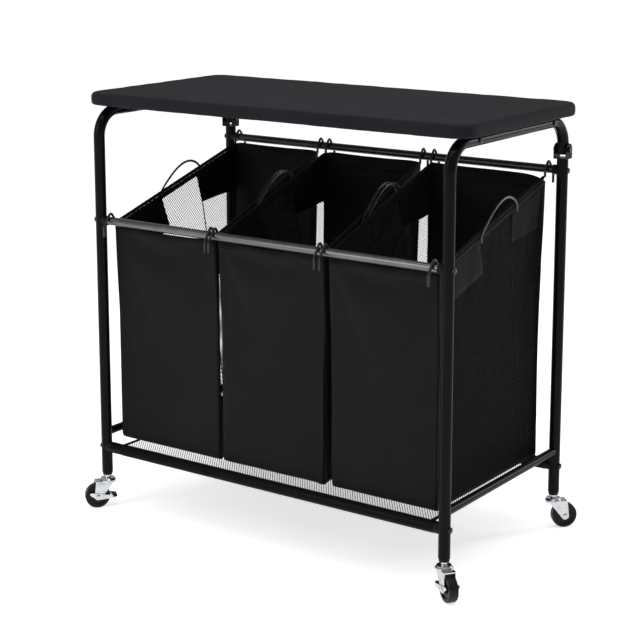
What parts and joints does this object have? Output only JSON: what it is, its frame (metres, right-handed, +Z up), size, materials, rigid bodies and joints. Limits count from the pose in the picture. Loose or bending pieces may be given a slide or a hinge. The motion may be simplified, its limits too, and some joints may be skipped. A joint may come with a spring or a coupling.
{
  "type": "laundry sorter cart",
  "caption": "Rolling laundry sorter in black tube steel with hanging fabric bags, mesh sides and shelf, a padded flip-up ironing top and swivel casters with brakes.",
  "frame": {"origin": "centre of the footprint, on the floor under the wheels", "axes": "+X along the width to the right as seen from the front, -Y towards the front with the lower hanging rod, +Z up"},
  "size_m": [0.8745, 0.4988, 0.845],
  "materials": {
    "black_powder_coat": "satin",
    "satin_black_rod": "satin",
    "black_plastic": "matte",
    "black_bolt_steel": "satin",
    "zinc_steel": "polished",
    "shelf_mesh": "matte",
    "board_fibre": "matte",
    "foam_padding": "matte",
    "board_cloth": "matte",
    "wheel_polymer": "satin",
    "bag_cloth": "matte",
    "bag_mesh": "matte",
    "handle_webbing": "matte"
  },
  "bodies": {
    "frame": {"front_left_leg": "black_powder_coat", "front_right_leg": "black_powder_coat", "rear_right_leg": "black_powder_coat", "rear_left_leg": "black_powder_coat", "front_hanging_rod": "satin_black_rod", "rear_hanging_rod": "satin_black_rod", "front_lower_rail": "black_powder_coat", "rear_lower_rail": "black_powder_coat", "left_side_bar": "black_powder_coat", "right_side_bar": "black_powder_coat", "rod_end_plugs": "black_plastic", "frame_bolts": "black_bolt_steel", "front_leg_plugs": "black_plastic", "left_hinge_bracket": "black_powder_coat", "right_hinge_bracket": "black_powder_coat", "hinge_bolts": "zinc_steel", "caster_sockets": "black_plastic", "caster_stems": "zinc_steel", "mesh_shelf": "shelf_mesh"},
    "board": {"left_top_tube": "black_powder_coat", "right_top_tube": "black_powder_coat", "board_panel": "board_fibre", "board_pad": "foam_padding", "board_cover": "board_cloth", "board_brackets": "black_powder_coat", "board_bolts": "black_bolt_steel", "board_screws": "zinc_steel"},
    "front_left_caster": {"front_left_fork": "zinc_steel", "front_left_axle": "zinc_steel"},
    "front_left_roller": {"front_left_wheel": "wheel_polymer"},
    "front_left_brake": {"front_left_brake_lever": "zinc_steel", "front_left_brake_pedal": "black_plastic"},
    "front_right_caster": {"front_right_fork": "zinc_steel", "front_right_axle": "zinc_steel"},
    "front_right_roller": {"front_right_wheel": "wheel_polymer"},
    "front_right_brake": {"front_right_brake_lever": "zinc_steel", "front_right_brake_pedal": "black_plastic"},
    "rear_right_caster": {"rear_right_fork": "zinc_steel", "rear_right_axle": "zinc_steel"},
    "rear_right_roller": {"rear_right_wheel": "wheel_polymer"},
    "rear_left_caster": {"rear_left_fork": "zinc_steel", "rear_left_axle": "zinc_steel"},
    "rear_left_roller": {"rear_left_wheel": "wheel_polymer"},
    "bag_1": {"bag_1_body": "bag_cloth", "bag_1_sides": "bag_mesh", "bag_1_hook_wires": "satin_black_rod", "bag_1_handles": "handle_webbing"},
    "bag_2": {"bag_2_body": "bag_cloth", "bag_2_sides": "bag_mesh", "bag_2_hook_wires": "satin_black_rod", "bag_2_handles": "handle_webbing"},
    "bag_3": {"bag_3_body": "bag_cloth", "bag_3_sides": "bag_mesh", "bag_3_hook_wires": "satin_black_rod", "bag_3_handles": "handle_webbing"}
  },
  "joints": [
    {"name": "board_flip", "type": "hinge", "parent": "frame", "child": "board", "pos_m": [0, 0.208, 0.752], "axis": [-1, 0, 0], "range_deg": [0, 90]},
    {"name": "front_left_swivel", "type": "hinge", "parent": "frame", "child": "front_left_caster", "pos_m": [-0.398, -0.208, 0.056], "axis": [0, 0, 1], "continuous": true},
    {"name": "front_left_roll", "type": "hinge", "parent": "front_left_caster", "child": "front_left_roller", "pos_m": [-0.41154, -0.22534, 0.025], "axis": [0.788, -0.6157, 0], "continuous": true},
    {"name": "front_left_brake_tilt", "type": "hinge", "parent": "front_left_caster", "child": "front_left_brake", "pos_m": [-0.41154, -0.22534, 0.025], "axis": [-0.788, 0.6157, 0], "range_deg": [0, 12]},
    {"name": "front_right_swivel", "type": "hinge", "parent": "frame", "child": "front_right_caster", "pos_m": [0.398, -0.208, 0.056], "axis": [0, 0, 1], "continuous": true},
    {"name": "front_right_roll", "type": "hinge", "parent": "front_right_caster", "child": "front_right_roller", "pos_m": [0.41602, -0.22062, 0.025], "axis": [0.5736, 0.8192, 0], "continuous": true},
    {"name": "front_right_brake_tilt", "type": "hinge", "parent": "front_right_caster", "child": "front_right_brake", "pos_m": [0.41602, -0.22062, 0.025], "axis": [-0.5736, -0.8192, 0], "range_deg": [0, 12]},
    {"name": "rear_right_swivel", "type": "hinge", "parent": "frame", "child": "rear_right_caster", "pos_m": [0.398, 0.208, 0.056], "axis": [0, 0, 1], "continuous": true},
    {"name": "rear_right_roll", "type": "hinge", "parent": "rear_right_caster", "child": "rear_right_roller", "pos_m": [0.41356, 0.22356, 0.025], "axis": [-0.7071, 0.7071, 0], "continuous": true},
    {"name": "rear_left_swivel", "type": "hinge", "parent": "frame", "child": "rear_left_caster", "pos_m": [-0.398, 0.208, 0.056], "axis": [0, 0, 1], "continuous": true},
    {"name": "rear_left_roll", "type": "hinge", "parent": "rear_left_caster", "child": "rear_left_roller", "pos_m": [-0.41154, 0.22534, 0.025], "axis": [-0.788, -0.6157, 0], "continuous": true},
    {"name": "bag_1_lift", "type": "slide", "parent": "frame", "child": "bag_1", "axis": [0, 0, 1], "range_m": [0, 0.025]},
    {"name": "bag_2_lift", "type": "slide", "parent": "frame", "child": "bag_2", "axis": [0, 0, 1], "range_m": [0, 0.025]},
    {"name": "bag_3_lift", "type": "slide", "parent": "frame", "child": "bag_3", "axis": [0, 0, 1], "range_m": [0, 0.025]}
  ]
}
